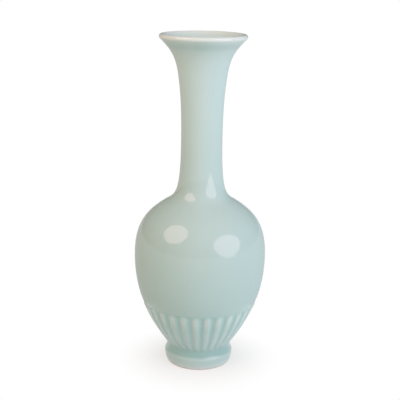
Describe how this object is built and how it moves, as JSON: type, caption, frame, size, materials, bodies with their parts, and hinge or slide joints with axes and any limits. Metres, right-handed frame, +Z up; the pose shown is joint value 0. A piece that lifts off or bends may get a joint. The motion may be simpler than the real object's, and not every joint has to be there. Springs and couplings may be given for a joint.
{
  "type": "bottle vase",
  "caption": "Celadon porcelain bottle vase with a trumpet neck, a round shoulder, a carved fluted band above the foot and a low foot ring; holds water and cut stems.",
  "frame": {"origin": "centre of the circle on which the foot ring stands, on the resting plane", "axes": "+Z up along the vase's axis of revolution; +X passes through the middle of one carved rib"},
  "size_m": [0.103, 0.103, 0.26],
  "materials": {
    "celadon_glaze": "glossy pale blue-green celadon glaze, white where it thins at the lip and darker where it pools",
    "porcelain_slip": "fired porcelain slip, matt white"
  },
  "bodies": {
    "root": {"neck": "celadon_glaze", "shoulder": "celadon_glaze", "lower_body": "celadon_glaze", "foot_ring": "celadon_glaze", "neck_slip": "porcelain_slip", "belly_slip": "porcelain_slip", "foot_slip": "porcelain_slip"}
  },
  "joints": []
}
